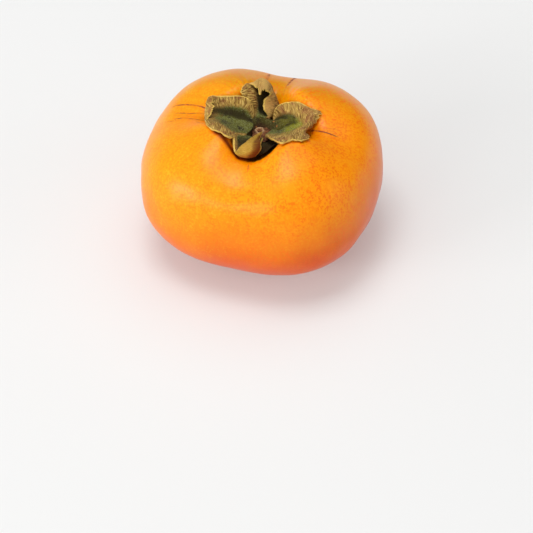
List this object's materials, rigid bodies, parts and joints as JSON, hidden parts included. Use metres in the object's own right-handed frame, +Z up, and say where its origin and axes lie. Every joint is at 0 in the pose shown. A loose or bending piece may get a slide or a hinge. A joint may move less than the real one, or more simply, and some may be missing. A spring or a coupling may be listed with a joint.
{
  "type": "persimmon",
  "caption": "Whole ripe persimmon, squat and softly four-lobed, with its dry curled calyx and stalk stub in a star-shaped hollow.",
  "frame": {"origin": "middle of the fruit's footprint, on the surface that it rests on", "axes": "+Z up through the fruit's core to the stalk; -Y is the side that the picture shows in front; +X to that view's right"},
  "size_m": [0.0812, 0.078, 0.0555],
  "materials": {
    "skin": "smooth waxy fruit skin, softly glossy",
    "dry_leaf": "dry, papery, ribbed leaf, matt",
    "cork": "dark dry wood, matt",
    "dried_blossom": "dried blossom tip, matt"
  },
  "bodies": {
    "root": {"fruit": "skin", "calyx": "dry_leaf", "stalk_stub": "cork", "blossom_point": "dried_blossom"}
  },
  "joints": []
}
